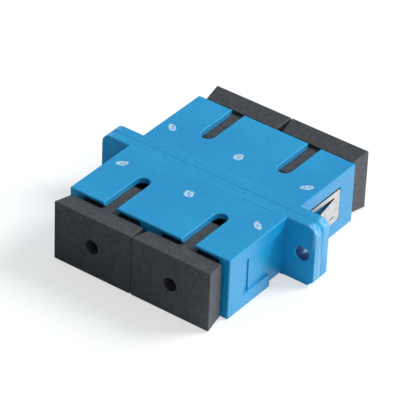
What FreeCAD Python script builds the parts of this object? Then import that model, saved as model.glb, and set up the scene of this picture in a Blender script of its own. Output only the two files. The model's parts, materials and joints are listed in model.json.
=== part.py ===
import FreeCAD, Part
import math
import os

# Duplex SC fibre adapter with its dust caps in. Millimetres, +Z up.
# X runs across the two ports, Y along the fibres. The origin is at the bottom of the
# flange, on the joint between the two shells. Every piece is made in the +Y half, which
# is the rear one, and is turned half a turn about Z for the front.

V = FreeCAD.Vector

# Body
body_width = 26.0
body_height = 9.35
body_length = 28.24
edge_break = 0.1
seam_break = 0.06

# Flange, half of it on each shell
flange_width = 35.2
flange_thickness = 3.17
flange_top_radius = 1.45
flange_foot_bevel = 0.9
screw_hole_radius = 1.05
screw_hole_inset = 2.0
screw_hole_rim = 0.12

# Ports, their bevelled mouths and their key slots
port_pitch = 12.7
port_width = 9.2
port_height = 7.6
port_corner = 0.3
mouth_bevel = 0.5
key_slot_width = 2.1
key_slot_length = 7.9
key_slot_rim = 0.1

# Round moulding marks on top
mark_radius = 0.62
mark_depth = 0.04
mark_pitch = 11.1
mark_place = 5.5

# Recesses for the clip, on both sides and underneath each shell
recess_depth = 0.3
recess_foot = 2.05
recess_height = 5.38
recess_length = 9.27
relief_length = 1.4
relief_depth = 0.15
channel_width = 3.35
channel_corner = 0.35

# Latch inserts
plate_shoulder = 0.6
plate_thickness = 1.3
plate_gap = 0.05
holder_wall = 0.6
holder_lip = 0.45
lip_room = 0.22
lip_bevel = 0.2
arm_inside = 3.05
arm_thickness = 0.65
arm_height = 3.0
arm_end = 8.4
hook_depth = 0.65
hook_land = 0.35
hook_slope = 1.3

# Split sleeves
ferrule_radius = 1.25
sleeve_wall = 0.35
sleeve_length = 11.4
sleeve_slit = 0.4
sleeve_bevel = 0.1
sleeve_gap = 0.1

# Spring clip
sheet = 0.25
clip_gap = 0.04
clip_bend = 0.4
clip_edge_gap = 0.06
blade_head_gap = 0.28
blade_corner = 0.6
tongue_foot_border = 0.95
tongue_head_border = 0.75
tongue_root_border = 1.38
tongue_cut = 0.3
tongue_angle = 9.2
panel_room = 1.0

# Dust caps
cap_gap = 0.1
cap_wall = 0.5
cap_corner = 0.3
cap_plug_length = 7.2
cap_tip_bevel = 0.25
cap_rib_width = 2.7
cap_rib_height = 0.35
cap_rib_slope = 0.85
cap_floor = 0.5
head_standoff = 0.7
head_depth = 3.0
head_gap = 0.1
head_inset = 0.1
head_taper = 0.42
head_corner = 0.12
head_break = 0.05
head_hole_radius = 1.05

# Places and sizes that follow from those above
half_width = body_width / 2
half_length = body_length / 2
mid_height = body_height / 2
flange_face = flange_thickness / 2
screw_hole_pitch = flange_width - 2 * screw_hole_inset
key_slot_radius = key_slot_width / 2
recess_end = flange_face + recess_length
recess_top = recess_foot + recess_height
recess_floor = half_width - recess_depth
channel_end = flange_face + channel_width
sleeve_radius = ferrule_radius + sleeve_wall
holder_bore = sleeve_radius + sleeve_gap
holder_depth = sleeve_length / 2 + plate_gap
blade_end = recess_end - clip_edge_gap
blade_foot = recess_foot + clip_edge_gap
blade_top = recess_top - blade_head_gap
plug_width = port_width - 2 * cap_gap
rib_reach = port_height / 2 - cap_gap
plug_height = 2 * (rib_reach - cap_rib_height)
cap_tip = half_length - cap_plug_length
head_start = half_length + head_standoff
hollow_end = head_start + cap_floor

# How far a cutting tool runs past the solid that it cuts
past = body_width


# Shapes that several pieces share

def outline(corners, radii):
    """Closed wire through the corners, each rounded to its own radius."""
    bends = []
    for index, corner in enumerate(corners):
        back = (corners[index - 1] - corner).normalize()
        ahead = (corners[(index + 1) % len(corners)] - corner).normalize()
        half_angle = back.getAngle(ahead) / 2
        inward = (back + ahead).normalize()
        reach = radii[index] / math.tan(half_angle)
        crown = radii[index] / math.sin(half_angle) - radii[index]
        bends.append((corner + back * reach, corner + inward * crown, corner + ahead * reach))
    edges = []
    for index, (start, crown, end) in enumerate(bends):
        following = bends[(index + 1) % len(bends)][0]
        if radii[index]:
            edges.append(Part.Arc(start, crown, end).toShape())
        edges.append(Part.LineSegment(end, following).toShape())
    return Part.Wire(edges)


def polygon(corners):
    return outline(corners, [0] * len(corners))


def upright(width, height, radius, y):
    """Rounded rectangle across the fibres, centred on a port's axis."""
    across, foot, top = width / 2, mid_height - height / 2, mid_height + height / 2
    corners = [V(-across, y, foot), V(across, y, foot), V(across, y, top), V(-across, y, top)]
    return outline(corners, [radius] * 4)


def drawn(wire, along):
    """Solid from a flat closed wire, drawn out along a vector."""
    return Part.Face(wire).extrude(along)


def loft(first, last):
    return Part.makeLoft([first, last], True, True)


def box(low, high):
    size = high - low
    return Part.makeBox(size.x, size.y, size.z, low)


def rod(radius, start, end, x=0):
    """Round bar along the fibres, at mid height."""
    return Part.makeCylinder(radius, end - start, V(x, start, mid_height), V(0, 1, 0))


def cone(start_radius, end_radius, start, end, x=0):
    axis_start = V(x, start, mid_height)
    return Part.makeCone(start_radius, end_radius, end - start, axis_start, V(0, 1, 0))


def mirrored(shape):
    """The shape's image on the other side of the middle plane between the ports."""
    return shape.mirror(V(0, 0, 0), V(1, 0, 0))


def turned(shape):
    """A copy turned half a turn about Z, from the rear half to the front."""
    copy = shape.copy()
    copy.rotate(V(0, 0, 0), V(0, 0, 1), 180)
    return copy


def edges_where(shape, test):
    """The shape's edges whose middle point passes the test."""
    found = []
    for edge in shape.Edges:
        middle = (edge.FirstParameter + edge.LastParameter) / 2
        if test(edge.valueAt(middle)):
            found.append(edge)
    return found


def same(first, second):
    return abs(first - second) < 1e-6


# The shells

def body_half():
    """Body from inside the flange to its rear end, with its outer edges broken."""
    block = box(V(-half_width, flange_face / 2, 0), V(half_width, half_length, body_height))

    def outer(point):
        on_side = same(abs(point.x), half_width)
        on_end = same(point.y, half_length)
        on_face = same(point.z, 0) or same(point.z, body_height)
        return on_side + on_end + on_face == 2

    return block.makeChamfer(edge_break, edges_where(block, outer))


def flange_half():
    """Half the flange: rounded top corners, bevelled foot corners, two screw holes."""
    across, bevel = flange_width / 2, flange_foot_bevel
    corners = [
        V(-across + bevel, 0, 0), V(across - bevel, 0, 0), V(across, 0, bevel),
        V(across, 0, body_height), V(-across, 0, body_height), V(-across, 0, bevel),
    ]
    radii = [0, 0, 0, flange_top_radius, flange_top_radius, 0]
    plate = drawn(outline(corners, radii), V(0, flange_face, 0))
    plate = plate.makeChamfer(edge_break, edges_where(plate, lambda point: same(point.y, flange_face)))
    plate = plate.makeChamfer(seam_break, edges_where(plate, lambda point: same(point.y, 0)))
    rim_radius = screw_hole_radius + screw_hole_rim
    for x in (-screw_hole_pitch / 2, screw_hole_pitch / 2):
        hole = rod(screw_hole_radius, -past, past, x)
        rim = cone(screw_hole_radius, rim_radius, flange_face - screw_hole_rim, flange_face, x)
        plate = plate.cut([hole, rim])
    return plate


def port_space():
    """A port with its bevelled mouth, and the seat of its latch insert behind it."""
    space = drawn(upright(port_width, port_height, port_corner, 0), V(0, past, 0))
    mouth = loft(
        upright(port_width, port_height, port_corner, half_length - mouth_bevel),
        upright(port_width + 2 * mouth_bevel, port_height + 2 * mouth_bevel, port_corner, half_length),
    )
    seat_width = port_width + 2 * plate_shoulder
    seat_depth = plate_thickness + plate_gap
    seat = drawn(upright(seat_width, port_height, 0, 0), V(0, seat_depth, 0))
    return space.fuse([mouth, seat])


def key_slot():
    """Round-ended slot through the top wall, open at the mouth, with a bevelled rim."""
    centre = half_length - key_slot_length + key_slot_radius
    sides = box(V(-key_slot_radius, centre, mid_height), V(key_slot_radius, past, past))
    end = Part.makeCylinder(key_slot_radius, past - mid_height, V(0, centre, mid_height))
    rim_foot, rim_radius = body_height - key_slot_rim, key_slot_radius + key_slot_rim
    rim_corners = [
        V(-key_slot_radius, centre, rim_foot), V(key_slot_radius, centre, rim_foot),
        V(rim_radius, centre, body_height), V(-rim_radius, centre, body_height),
    ]
    rim_sides = drawn(polygon(rim_corners), V(0, past, 0))
    rim_end = Part.makeCone(key_slot_radius, rim_radius, key_slot_rim, V(0, centre, rim_foot))
    return sides.fuse([end, rim_sides, rim_end])


def moulding_marks():
    """Shallow round marks left on the shell's top."""
    low = body_height - mark_depth
    discs = []
    for x in (-mark_pitch, 0, mark_pitch):
        discs.append(Part.makeCylinder(mark_radius, past, V(x, mark_place, low)))
    return discs


def blade_recess():
    """Seat of the clip's blade on the +X side, running out at the bottom beside the flange."""
    corners = [
        V(recess_floor, flange_face, -past), V(recess_floor, channel_end, -past),
        V(recess_floor, channel_end, recess_foot), V(recess_floor, recess_end, recess_foot),
        V(recess_floor, recess_end, recess_top), V(recess_floor, flange_face, recess_top),
    ]
    seat = drawn(outline(corners, [0, 0, channel_corner, 0, 0, 0]), V(past, 0, 0))
    relief = box(
        V(recess_floor - relief_depth, recess_end - relief_length, recess_foot),
        V(recess_floor + past, recess_end, recess_top),
    )
    return seat.fuse(relief)


def clip_space(growth):
    """The space that the clip bends round, from floor to floor of its recesses, grown outwards."""
    across, foot, bend = recess_floor + growth, recess_depth - growth, clip_bend + growth
    corners = [
        V(-across, 0, foot), V(across, 0, foot),
        V(across, 0, body_height), V(-across, 0, body_height),
    ]
    return drawn(outline(corners, [bend, bend, 0, 0]), V(0, half_length, 0))


def band_channel():
    """Channel under the shell for the clip's band, rounded where the clip bends up."""
    slab = box(V(-past, flange_face, -past), V(past, channel_end, recess_foot))
    return slab.cut(clip_space(0))


def shell():
    """One of the two housing mouldings."""
    solid = body_half().fuse(flange_half())
    port_cuts = port_space().fuse(key_slot())
    recess = blade_recess()
    cuts = [recess, mirrored(recess), band_channel()]
    for x in (-port_pitch / 2, port_pitch / 2):
        cuts.append(port_cuts.translated(V(x, 0, 0)))
    return solid.cut(cuts + moulding_marks()).removeSplitter()


# The latch inserts

def latch_arm():
    """Springy arm on the +X side, its hook turned in towards the ferrule."""
    outside = arm_inside + arm_thickness
    nose = arm_inside - hook_depth
    slope_start = arm_end - hook_slope
    foot = mid_height - arm_height / 2
    corners = [
        V(arm_inside, 0, foot), V(arm_inside, slope_start - hook_land, foot),
        V(nose, slope_start - hook_land, foot), V(nose, slope_start, foot),
        V(arm_inside, arm_end, foot), V(outside, arm_end, foot), V(outside, 0, foot),
    ]
    return drawn(polygon(corners), V(0, 0, arm_height))


def latch():
    """Insert of one port end: a plate, two hooked arms and half of the sleeve's holder."""
    plate_width = port_width + 2 * plate_shoulder - 2 * plate_gap
    plate_height = port_height - 2 * plate_gap
    plate = drawn(upright(plate_width, plate_height, 0, 0), V(0, plate_thickness, 0))
    holder_end = holder_depth + holder_lip
    holder = rod(holder_bore + holder_wall, 0, holder_end)
    arm = latch_arm()
    lip_radius = ferrule_radius + lip_room
    cuts = [
        rod(holder_bore, -past, holder_depth),
        rod(lip_radius, 0, past),
        cone(lip_radius, lip_radius + lip_bevel, holder_end - lip_bevel, holder_end),
    ]
    return plate.fuse([holder, arm, mirrored(arm)]).cut(cuts).removeSplitter()


# The split sleeves

def split_sleeve():
    """Slit ceramic tube that lines two ferrules up end to end."""
    end = sleeve_length / 2
    flare = cone(ferrule_radius, ferrule_radius + sleeve_bevel, end - sleeve_bevel, end)
    slit = box(V(-sleeve_slit / 2, -past, mid_height), V(sleeve_slit / 2, past, past))
    return rod(sleeve_radius, -end, end).cut([rod(ferrule_radius, -past, past), flare, turned(flare), slit])


# The spring clip

def clip_side():
    """Side view of the clip: a blade on a leg that comes up from the band."""
    leg_start, leg_end = flange_face + clip_edge_gap, channel_end - clip_edge_gap
    corners = [
        V(-past, leg_start, -past), V(-past, leg_end, -past), V(-past, leg_end, blade_foot),
        V(-past, blade_end, blade_foot), V(-past, blade_end, blade_top), V(-past, leg_start, blade_top),
    ]
    radii = [0, 0, channel_corner, blade_corner, blade_corner / 2, 0]
    return drawn(outline(corners, radii), V(2 * past, 0, 0))


def tongue_and_window():
    """Lanced tongue on the +X side, bent out towards the flange, and the window that it leaves."""
    angle = math.radians(tongue_angle)
    outside = recess_floor + clip_gap + sheet
    root_place = blade_end - tongue_root_border
    foot, top = blade_foot + tongue_foot_border, blade_top - tongue_head_border
    room = root_place - flange_face - panel_room - sheet * math.sin(angle)
    length = room / math.cos(angle)
    root = V(outside, root_place, foot + tongue_cut)
    inside_root = root - V(sheet, 0, 0)
    inside_bend = inside_root - V(0, sheet * math.tan(angle / 2), 0)
    tip = root + V(math.sin(angle), -math.cos(angle), 0) * length
    inside_tip = tip - V(math.cos(angle), math.sin(angle), 0) * sheet
    tongue = drawn(
        polygon([root, tip, inside_tip, inside_bend, inside_root]),
        V(0, 0, top - foot - 2 * tongue_cut),
    )
    window = box(V(0, root_place - length - tongue_cut, foot), V(past, root_place, top))
    return tongue, window


def mounting_clip():
    """Spring of one strip of sheet, bent in a U round the rear shell."""
    strip = clip_space(clip_gap + sheet).cut(clip_space(clip_gap)).common(clip_side())
    tongue, window = tongue_and_window()
    strip = strip.cut([window, mirrored(window)])
    return strip.fuse([tongue, mirrored(tongue)]).removeSplitter()


# The dust caps

def cap_head():
    """Block outside the port, a little smaller where it faces the shell."""
    width, height = port_pitch - head_gap, body_height - 2 * head_inset
    head_end = head_start + head_depth
    block = loft(
        upright(width - 2 * head_taper, height - 2 * head_taper, head_corner, head_start),
        upright(width, height, head_corner, head_end),
    )
    return block.makeChamfer(head_break, edges_where(block, lambda point: same(point.y, head_end)))


def cap_plug():
    """Plug as wide as the port, with a bevelled tip."""
    straight_start = cap_tip + cap_tip_bevel
    tip = loft(
        upright(plug_width - 2 * cap_tip_bevel, plug_height - 2 * cap_tip_bevel, cap_corner, cap_tip),
        upright(plug_width, plug_height, cap_corner, straight_start),
    )
    straight = drawn(
        upright(plug_width, plug_height, cap_corner, straight_start),
        V(0, hollow_end - straight_start, 0),
    )
    return tip.fuse(straight)


def cap_ribs():
    """Ribs along the plug's top and foot, sloped at the tip, which keep it at mid height."""
    across, start, slope_end = cap_rib_width / 2, cap_tip + cap_tip_bevel, cap_tip + cap_rib_slope
    low, high = mid_height - rib_reach, mid_height + rib_reach
    corners = [
        V(-across, start, low + cap_rib_height), V(-across, slope_end, low),
        V(-across, hollow_end, low), V(-across, hollow_end, high),
        V(-across, slope_end, high), V(-across, start, high - cap_rib_height),
    ]
    return drawn(polygon(corners), V(cap_rib_width, 0, 0))


def dust_cap():
    """Moulded cap of one port end: block and hollow ribbed plug, with a round hole through."""
    hollow_width, hollow_height = plug_width - 2 * cap_wall, plug_height - 2 * cap_wall
    hollow = drawn(upright(hollow_width, hollow_height, 0, 0), V(0, hollow_end, 0))
    hole = rod(head_hole_radius, head_start, past)
    return cap_head().fuse([cap_plug(), cap_ribs()]).cut([hollow, hole]).removeSplitter()


# Placing the pieces

def save(shape, name):
    solids = shape.Solids
    if len(solids) != 1 or not solids[0].isValid():
        raise ValueError(f"{name} is not one valid solid")
    solids[0].exportStep(f"parts/{name}.step")


def main():
    os.makedirs("parts", exist_ok=True)
    ends = {"front": turned, "rear": Part.Shape.copy}
    ports = {"left": V(-port_pitch / 2, 0, 0), "right": V(port_pitch / 2, 0, 0)}
    housing = shell()
    port_pieces = {"latch": latch(), "cap": dust_cap()}
    for end, turn in ends.items():
        save(turn(housing), f"{end}_shell")
        for port, place in ports.items():
            for piece, shape in port_pieces.items():
                save(turn(shape).translated(place), f"{port}_{end}_{piece}")
    for port, place in ports.items():
        save(split_sleeve().translated(place), f"{port}_sleeve")
    save(mounting_clip(), "mounting_clip")


main()
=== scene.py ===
import json
import math

import bpy
from mathutils import Matrix, Vector


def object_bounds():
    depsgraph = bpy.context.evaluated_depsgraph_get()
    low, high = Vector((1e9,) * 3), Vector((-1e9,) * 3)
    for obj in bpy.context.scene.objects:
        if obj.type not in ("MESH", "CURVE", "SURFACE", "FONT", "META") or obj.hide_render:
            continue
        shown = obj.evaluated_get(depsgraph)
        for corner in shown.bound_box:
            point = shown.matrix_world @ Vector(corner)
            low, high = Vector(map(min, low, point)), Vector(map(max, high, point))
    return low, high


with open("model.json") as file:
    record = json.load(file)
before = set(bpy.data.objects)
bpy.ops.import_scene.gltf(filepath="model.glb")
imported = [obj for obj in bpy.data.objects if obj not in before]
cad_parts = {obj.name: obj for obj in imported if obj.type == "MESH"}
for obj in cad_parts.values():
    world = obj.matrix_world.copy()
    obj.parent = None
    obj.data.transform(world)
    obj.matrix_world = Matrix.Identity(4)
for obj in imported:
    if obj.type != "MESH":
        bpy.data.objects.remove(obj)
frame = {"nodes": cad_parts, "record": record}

# A blue duplex SC fibre adapter with black dust caps, on a pale studio floor. Metres.
# The CAD nodes keep their shapes. This script gives each one its finish, and adds the
# light, the floor and the camera.

MM = 0.001
cad_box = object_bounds()

# Details on the shells, in millimetres from the adapter's middle
FLANGE_END = 17.6
SCREW_HOLE = 15.6
MARK_PITCH = 11.1
MARK_LINE = 5.5

# Colours of the blue moulding, in linear RGB
BLUE = (0.001, 0.262, 0.545)
LIGHTER_BLUE = (0.005, 0.308, 0.600)
SCUFFED_BLUE = (0.40, 0.68, 0.90)
# Painted highlight: a paler blue where rims, bevels and the flange's edges catch the light
PAINTED_HIGHLIGHT_BLUE = (0.16, 0.52, 0.86)
# Painted shade: the dark line in front of the flange's step
PAINTED_SHADE_BLUE = (0.0, 0.11, 0.28)
# Painted shade: dark navy inside the screw bores
BORE_SHADE_BLUE = (0.002, 0.09, 0.30)
MARK_HAZE = (0.66, 0.82, 0.95)
MARK_PIP = (0.05, 0.13, 0.24)

# The other finishes' colours
BLACK = (0.033, 0.034, 0.038)
LIGHTER_BLACK = (0.050, 0.051, 0.057)
BLACK_DUST = (0.17, 0.175, 0.185)
# Painted highlight on the black edges
BLACK_HIGHLIGHT = (0.20, 0.205, 0.21)
STEEL = (0.45, 0.44, 0.42)
LIGHTER_STEEL = (0.57, 0.56, 0.54)
# Painted highlight on the steel's edges
STEEL_HIGHLIGHT = (0.75, 0.75, 0.74)
# Painted shade: near-black on the clip's cut edges
CUT_EDGE_SHADE = (0.055, 0.055, 0.060)
MILKY = (0.70, 0.68, 0.60)
LIGHTER_MILKY = (0.80, 0.79, 0.72)
# Painted highlight on the milky edges
MILKY_HIGHLIGHT = (0.90, 0.89, 0.85)
CERAMIC = (0.80, 0.79, 0.75)
LIGHTER_CERAMIC = (0.88, 0.875, 0.85)

# The studio
WHITE = (1.0, 1.0, 1.0)
COOL_WHITE = (0.84, 0.94, 1.0)
BRIGHT_SIDE = (0.76, 0.65, 0.0)
FLOOR_SIZE = 1.5
KEY_PLACE = (0.50, 0.56, 0.66)
KEY_SIZE = 0.4
KEY_POWER = 9.8

# The camera, with its angles in degrees and its lens in millimetres
CAMERA_PLACE = (0.18732, -0.26645, 0.23602)
CAMERA_AZIMUTH = 35.168
CAMERA_ELEVATION = 35.502
CAMERA_ROLL = 2.472
CAMERA_LENS = 257.63
CAMERA_SENSOR = 36.0
CAMERA_NEAREST = 0.01


# Building node trees

class Tree:
    """The node tree of a material or world, built with short calls."""

    def __init__(self, owner, shader):
        owner.use_nodes = True
        self.owner = owner
        self.tree = owner.node_tree
        self.shader = self.tree.nodes[shader]

    def node(self, kind, inputs=None, **settings):
        """A new node. Each input is a plain value, or the output socket that feeds it."""
        made = self.tree.nodes.new(kind)
        for key, value in settings.items():
            setattr(made, key, value)
        for key, value in (inputs or {}).items():
            self.feed(made.inputs[key], value)
        return made

    def feed(self, socket, value):
        if isinstance(value, bpy.types.NodeSocket):
            self.tree.links.new(value, socket)
        else:
            socket.default_value = value

    def set(self, **values):
        """Feeds the shader's own sockets, named with underscores for spaces."""
        for key, value in values.items():
            self.feed(self.shader.inputs[key.replace("_", " ")], value)

    def maths(self, operation, first, second=0.0, third=0.0, clamp=False):
        values = {0: first, 1: second, 2: third}
        made = self.node("ShaderNodeMath", values, operation=operation, use_clamp=clamp)
        return made.outputs[0]

    def product(self, first, *others):
        for value in others:
            first = self.maths("MULTIPLY", first, value)
        return first

    def highest(self, first, *others):
        for value in others:
            first = self.maths("MAXIMUM", first, value)
        return first

    def line(self, value, slope, base):
        """base + slope * value."""
        return self.maths("MULTIPLY_ADD", value, slope, base)

    def vector(self, operation, first, second=None):
        """The node of an operation on one or two vectors."""
        values = {0: first} if second is None else {0: first, 1: second}
        return self.node("ShaderNodeVectorMath", values, operation=operation)

    def dot(self, first, second):
        return self.vector("DOT_PRODUCT", first, second).outputs["Value"]

    def split(self, vector):
        """The (X, Y, Z) sockets of a vector."""
        return self.node("ShaderNodeSeparateXYZ", {"Vector": vector}).outputs

    def ray(self, *kinds):
        """1 for rays of one of these kinds, such as Camera or Glossy, and 0 for all others."""
        path = self.node("ShaderNodeLightPath")
        return self.highest(0.0, *(path.outputs[f"Is {kind} Ray"] for kind in kinds))

    def between(self, value, low, high, start=0.0, end=1.0):
        """value mapped smoothly from low..high to start..end."""
        values = {"Value": value, "From Min": low, "From Max": high, "To Min": start, "To Max": end}
        made = self.node("ShaderNodeMapRange", values, interpolation_type="SMOOTHSTEP")
        return made.outputs[0]

    def fade(self, value, low, high, start=1.0):
        """start where value is under low, going smoothly to 0 at high."""
        return self.between(value, low, high, start, 0.0)

    def blend(self, amount, first, second):
        """Colour that goes from first to second with amount."""
        made = self.node("ShaderNodeMix", data_type="RGBA")
        self.feed(made.inputs[0], amount)
        for socket, value in ((made.inputs[6], first), (made.inputs[7], second)):
            self.feed(socket, value if isinstance(value, bpy.types.NodeSocket) else (*value, 1.0))
        return made.outputs[2]


class Finish(Tree):
    """A material with its Principled shader."""

    def __init__(self, name):
        super().__init__(bpy.data.materials.new(name), "Principled BSDF")
        self.place = self.node("ShaderNodeTexCoord").outputs["Object"]

    def noise(self, size, detail=2.0, stretch=(1.0, 1.0, 1.0), roughness=0.5):
        """Noise with features about size millimetres across, drawn out by stretch."""
        scale = [1.0 / (size * MM * part) for part in stretch]
        spread = self.node("ShaderNodeMapping", {"Vector": self.place, "Scale": scale}).outputs[0]
        values = {"Vector": spread, "Scale": 1.0, "Detail": detail, "Roughness": roughness}
        return self.node("ShaderNodeTexNoise", values).outputs[0]

    def edges(self, width):
        """1 on edges and corners within about width millimetres, 0 on flat faces."""
        soft = self.node("ShaderNodeBevel", {"Radius": width * MM}, samples=6).outputs[0]
        flat = self.node("ShaderNodeNewGeometry").outputs["Normal"]
        return self.between(self.dot(soft, flat), 1.0, 0.8)

    def facing(self):
        """(X, Y, Z) sockets of how squarely the face looks along each axis, either way."""
        normal = self.node("ShaderNodeNewGeometry").outputs["True Normal"]
        return self.split(self.vector("ABSOLUTE", normal).outputs[0])

    def slanted(self):
        """1 on bevels and roundings, 0 on faces that look along an axis."""
        return self.fade(self.highest(*self.facing()), 0.90, 0.97)

    def distance(self, place, size, turn=0.0):
        """Distance from a place, in units of size along each axis.

        The place is in the quarter where X and Y are positive, and the other three mirror it.
        """
        quarter = self.vector("ABSOLUTE", self.place).outputs[0]
        values = {"Vector": quarter, "Location": place, "Rotation": (0.0, 0.0, turn), "Scale": size}
        local = self.node("ShaderNodeMapping", values, vector_type="TEXTURE").outputs[0]
        return self.vector("LENGTH", local).outputs["Value"]

    def bump(self, *layers):
        """Bump from (height socket, depth in millimetres) layers, one on top of the other."""
        normal = None
        for height, depth in layers:
            values = {"Height": height, "Distance": depth * MM, "Strength": 1.0}
            if normal:
                values["Normal"] = normal
            normal = self.node("ShaderNodeBump", values).outputs[0]
        self.set(Normal=normal)


# The blue moulding

def blue_plastic(name, places):
    """Satin blue moulding, scuffed at its edges and hazy on its marks, with painted highlights on its
    rims and painted shade in its bores and along the flange's front.
    """
    f = Finish(name)
    mottled = f.noise(0.35, detail=3.0, roughness=0.7)
    slanted = f.slanted()
    bore = f.fade(f.distance(*places["bore"]), 0.98, 1.04)
    haze, pip = mark_masks(f, places["marks"])
    colour = cloudy_blue(f, mottled)
    colour = f.blend(worn_mask(f, places, mottled), colour, SCUFFED_BLUE)
    # Painted highlight on rims, bevels and the lines along the flange
    colour = f.blend(painted_highlight_mask(f, places, slanted), colour, PAINTED_HIGHLIGHT_BLUE)
    # Painted shade along the flange's front
    colour = f.blend(painted_shade_mask(f, places), colour, PAINTED_SHADE_BLUE)
    colour = f.blend(haze, colour, MARK_HAZE)
    colour = f.blend(pip, colour, MARK_PIP)
    satin = f.between(f.noise(0.5, detail=3.0), 0.3, 0.7, 0.28, 0.38)
    dull = dull_mask(f, slanted, bore)
    f.set(
        # The bores are painted dark as shade
        Base_Color=f.blend(bore, colour, BORE_SHADE_BLUE),
        Roughness=f.line(dull, 0.25, satin),
        Specular_IOR_Level=f.line(dull, -0.60, 0.68),
        Specular_Tint=(0.88, 0.96, 1.0, 1.0),
    )
    f.bump((f.noise(0.10, detail=2.0), 0.004), (f.noise(1.6, detail=2.0), 0.006), (haze, 0.02))
    return f.owner


def cloudy_blue(f, mottled):
    """Blue that varies faintly, in broad clouds and fine mottling."""
    cloudy = f.noise(9.0, detail=3.0)
    tint = f.between(f.line(mottled, 0.5, f.product(cloudy, 0.5)), 0.40, 0.60)
    return f.blend(tint, BLUE, LIGHTER_BLUE)


def worn_mask(f, places, mottled):
    """Streaks on the flange's ends and scuffs on its top corners, but not on its front and back."""
    streaks = f.between(f.noise(0.22, detail=2.0, stretch=(30.0, 1.0, 30.0)), 0.45, 0.65, 0.0, 0.30)
    ends = f.fade(f.distance(*places["ends"]), 0.8, 1.0)
    corners = f.fade(f.distance(*places["scuffs"]), 0.3, 1.0, start=0.7)
    scuffs = f.product(corners, f.between(mottled, 0.38, 0.60))
    scuffs = f.maths("SUBTRACT", scuffs, f.facing()["Y"], clamp=True)
    return f.highest(f.product(streaks, ends), scuffs)


def painted_highlight_mask(f, places, slanted):
    """Painted highlights: pale rims and bevels, and faint pale lines across the top where the flange
    runs into the body.
    """
    rim_highlights = f.product(f.highest(slanted, f.edges(0.12)), 0.28)
    line_highlights = f.product(f.fade(f.distance(*places["highlight_line"]), 0.3, 1.0), 0.16)
    return f.highest(rim_highlights, line_highlights)


def painted_shade_mask(f, places):
    """Painted shade: a faint dark line across the right of the top, along the flange's front."""
    x, y, _ = f.split(f.place)
    right_front = f.product(f.maths("GREATER_THAN", x, 0.0), f.maths("LESS_THAN", y, 0.0))
    return f.product(right_front, f.fade(f.distance(*places["shade_line"]), 0.2, 1.0, start=0.5))


def mark_masks(f, marks):
    """(haze, pip) masks of the marks on top: a hazy ring and middle, with dark specks."""
    nearest = f.distance(*marks[0])
    for mark in marks[1:]:
        nearest = f.maths("MINIMUM", nearest, f.distance(*mark))
    radius = f.maths("ADD", nearest, f.between(f.noise(0.5, detail=1.0), 0.3, 0.7, -0.10, 0.10))
    disc = f.fade(radius, 0.75, 1.15)
    ring = f.fade(f.maths("ABSOLUTE", f.maths("SUBTRACT", radius, 0.72)), 0.08, 0.32)
    middle = f.fade(radius, 0.10, 0.32)
    patchy = f.between(f.noise(0.30, detail=2.0, roughness=0.6), 0.36, 0.60, 0.55, 1.0)
    haze = f.product(f.line(disc, 0.35, f.product(f.highest(ring, middle), 0.6)), patchy)
    specks = f.between(f.noise(0.24, detail=1.0), 0.62, 0.68)
    return haze, f.product(disc, specks, 0.7)


def dull_mask(f, slanted, bore):
    """Bevels, and less so the faces that look along the fibres. The bores stay glossy."""
    dull = f.highest(slanted, f.product(f.facing()["Y"], 0.7))
    return f.maths("SUBTRACT", dull, bore, clamp=True)


# The other finishes

def black_plastic(name):
    """Grainy matte black moulding with pale dust in its grain, and painted highlights on its edges."""
    f = Finish(name)
    mottle = f.between(f.noise(0.9, detail=4.0, roughness=0.6), 0.35, 0.65)
    grain = f.noise(0.13, detail=3.0, roughness=0.65)
    colour = f.blend(mottle, BLACK, LIGHTER_BLACK)
    colour = f.blend(f.between(grain, 0.56, 0.68, 0.0, 0.80), colour, BLACK_DUST)
    # Painted highlight: paler edges, as if rounded edges caught the light
    colour = f.blend(f.product(f.edges(0.12), 0.35), colour, BLACK_HIGHLIGHT)
    roughness = f.between(grain, 0.3, 0.7, 0.52, 0.38)
    f.set(Base_Color=colour, Roughness=roughness, Specular_IOR_Level=0.45)
    f.bump((grain, 0.03), (f.noise(0.45, detail=2.0), 0.02))
    return f.owner


def spring_steel(name):
    """Bright rolled strip with a fine lay along the fibres, and painted highlights on its edges. Its
    sheared edges are rougher, and painted shade makes them dark.
    """
    f = Finish(name)
    lay = f.noise(0.05, detail=3.0, stretch=(1.0, 40.0, 1.0))
    haze = f.between(f.noise(1.2, detail=3.0), 0.3, 0.7)
    colour = f.blend(haze, STEEL, LIGHTER_STEEL)
    # Painted highlight: paler edges, as if rounded edges caught the light
    colour = f.blend(f.product(f.edges(0.05), 0.4), colour, STEEL_HIGHLIGHT)
    sheared = sheared_mask(f)
    rolled = f.between(lay, 0.3, 0.7, 0.30, 0.46)
    f.set(
        # The cut edges are painted dark as shade and reflection of dark surroundings; their extra
        # roughness is real
        Base_Color=f.blend(sheared, colour, CUT_EDGE_SHADE),
        Metallic=1.0,
        Roughness=f.line(sheared, 0.2, rolled),
    )
    f.bump((lay, 0.003), (f.noise(2.2, detail=1.0), 0.01))
    return f.owner


def sheared_mask(f):
    """1 on the cut edges of the clip's strip, which look along it or, above the band, up or down."""
    x, y, _ = f.facing()
    above_band = f.maths("GREATER_THAN", f.split(f.place)["Z"], 0.8 * MM)
    edge_on = f.highest(f.maths("GREATER_THAN", y, 0.6), above_band)
    return f.product(f.maths("LESS_THAN", x, 0.5), edge_on)


def natural_plastic(name):
    """Milky moulding, a little waxy, with painted highlights on its edges."""
    f = Finish(name)
    tint = f.between(f.noise(3.0, detail=3.0), 0.35, 0.65)
    colour = f.blend(tint, MILKY, LIGHTER_MILKY)
    # Painted highlight: paler edges, as if rounded edges caught the light
    colour = f.blend(f.product(f.edges(0.08), 0.5), colour, MILKY_HIGHLIGHT)
    f.set(Base_Color=colour, Roughness=f.between(f.noise(0.4), 0.3, 0.7, 0.40, 0.55))
    f.bump((f.noise(0.12, detail=2.0), 0.004))
    return f.owner


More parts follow.
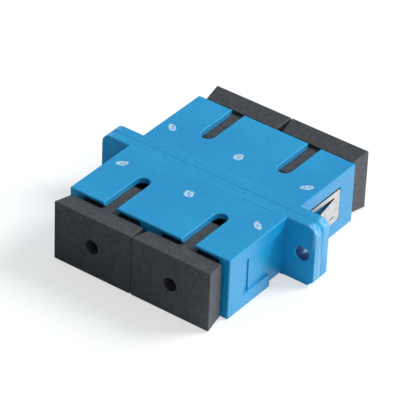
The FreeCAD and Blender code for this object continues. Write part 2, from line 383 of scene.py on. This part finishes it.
def zirconia(name):
    """Fine ground white ceramic."""
    f = Finish(name)
    tint = f.between(f.noise(1.0, detail=2.0), 0.35, 0.65)
    rings = f.noise(0.04, detail=2.0, stretch=(30.0, 1.0, 30.0))
    f.set(
        Base_Color=f.blend(tint, CERAMIC, LIGHTER_CERAMIC),
        Roughness=f.between(rings, 0.3, 0.7, 0.12, 0.24),
        IOR=2.0,
    )
    f.bump((rings, 0.001))
    return f.owner


# Dressing the nodes

def mm(*values):
    """Millimetres in metres."""
    return tuple(value * MM for value in values)


def shell_places():
    """(place, size, turn) of details on the shells, for Finish.distance. Turn may be left out."""
    top = cad_box[1][2]
    middle = top / 2
    endless = 1000.0
    reach = 0.4
    return {
        "marks": [
            ((*mm(0.0, MARK_LINE), top), mm(0.72, 0.78, reach)),
            ((*mm(MARK_PITCH, MARK_LINE), top), mm(0.92, 0.52, reach), math.radians(42.0)),
        ],
        "bore": ((*mm(SCREW_HOLE, 0.0), middle), mm(1.05, endless, 1.05)),
        "ends": ((*mm(FLANGE_END, 0.0), middle), mm(0.5, 5.0, 15.0)),
        "scuffs": ((*mm(17.0, 1.0), top - 0.8 * MM), mm(1.3, 1.0, 1.6)),
        "shade_line": ((*mm(8.2, 1.85), top), mm(5.5, 0.13, reach)),
        "highlight_line": ((*mm(0.0, 1.55), top), mm(39.0, 0.12, reach)),
    }


def dress(places):
    """Gives every CAD node the finish of its material slot."""
    finishes = {
        "shell": blue_plastic("blue_plastic", places),
        "dust_cap": black_plastic("black_plastic"),
        "clip": spring_steel("spring_steel"),
        "latch": natural_plastic("natural_plastic"),
        "sleeve": zirconia("zirconia"),
    }
    for part in frame["record"]["subparts"]:
        materials = frame["nodes"][part["node"]].data.materials
        materials.clear()
        materials.append(finishes[part["material_slot"]])


# The studio

def studio_world():
    """White where it is seen. Its soft light and its reflection are stronger on the bright side."""
    world = Tree(bpy.data.worlds.new("studio"), "Background")
    direction = world.node("ShaderNodeTexCoord").outputs["Generated"]
    side = world.between(world.dot(direction, BRIGHT_SIDE), -0.6, 0.7)
    low = world.between(world.split(direction)["Z"], 0.1, 0.6, 1.0, 0.4)
    mirrored = world.product(world.ray("Glossy"), world.product(low, world.line(side, 0.50, 0.05)))
    seen = world.ray("Camera", "Transmission")
    world.set(
        Color=world.blend(seen, COOL_WHITE, WHITE),
        Strength=world.highest(seen, mirrored, world.line(side, 0.18, 0.38)),
    )
    bpy.context.scene.world = world.owner


def studio_floor():
    """Matt white paper. Where it is seen it is lifted to white, with the shadow left pale. In
    reflections it is painted darker in front and glows brighter on the bright side.
    """
    paper = Finish("floor_paper")
    lifted = paper.ray("Camera", "Transmission")
    glossy = paper.ray("Glossy")
    side = paper.between(paper.dot(paper.place, BRIGHT_SIDE), -20.0 * MM, 10.0 * MM)
    # Painted light in reflections: the paper is darker towards the front and brighter on the bright
    # side
    mirrored = paper.blend(side, (0.30, 0.30, 0.30), (0.85, 0.85, 0.85))
    colour = paper.blend(glossy, (0.90, 0.90, 0.90), mirrored)
    paper.set(
        Base_Color=paper.blend(lifted, colour, (0.42, 0.42, 0.42)),
        Roughness=0.9,
        Specular_IOR_Level=0.0,
        Emission_Color=(*WHITE, 1.0),
        # The glow on the bright side, seen only in reflections, is a painted highlight; the paper is no
        # lamp
        Emission_Strength=paper.highest(paper.product(lifted, 0.60), paper.product(glossy, side, 0.50)),
    )
    bpy.ops.mesh.primitive_plane_add(size=FLOOR_SIZE, location=(0, 0, cad_box[0][2]))
    floor = bpy.context.object
    floor.name = "studio_floor"
    floor.data.materials.append(paper.owner)


def softbox(name, place, size, power):
    """Square area lamp that faces the object's middle."""
    lamp = bpy.data.lights.new(name, "AREA")
    lamp.size = size
    lamp.energy = power
    holder = bpy.data.objects.new(name, lamp)
    holder.location = place
    holder.rotation_euler = (-Vector(place)).to_track_quat("-Z", "Y").to_euler()
    bpy.context.collection.objects.link(holder)


def camera_turn():
    """Rotation of the camera, whose azimuth is 0 in front of the object and grows to the right."""
    azimuth, elevation, roll = map(math.radians, (CAMERA_AZIMUTH, CAMERA_ELEVATION, CAMERA_ROLL))
    back = Vector((
        math.sin(azimuth) * math.cos(elevation),
        -math.cos(azimuth) * math.cos(elevation),
        math.sin(elevation),
    ))
    right = Vector((math.cos(azimuth), math.sin(azimuth), 0.0))
    up = back.cross(right)
    across = right * math.cos(roll) + up * math.sin(roll)
    above = up * math.cos(roll) - right * math.sin(roll)
    return Matrix((across, above, back)).transposed().to_4x4()


def studio_camera():
    """The camera at the photograph's place, turn and lens."""
    lens = bpy.data.cameras.new("camera")
    lens.sensor_width = CAMERA_SENSOR
    lens.lens = CAMERA_LENS
    lens.clip_start = CAMERA_NEAREST
    camera = bpy.data.objects.new("camera", lens)
    camera.matrix_world = Matrix.Translation(CAMERA_PLACE) @ camera_turn()
    bpy.context.collection.objects.link(camera)
    bpy.context.scene.camera = camera


dress(shell_places())
studio_world()
studio_floor()
softbox("key", KEY_PLACE, KEY_SIZE, KEY_POWER)
studio_camera()
bpy.context.scene.view_settings.view_transform = "Standard"
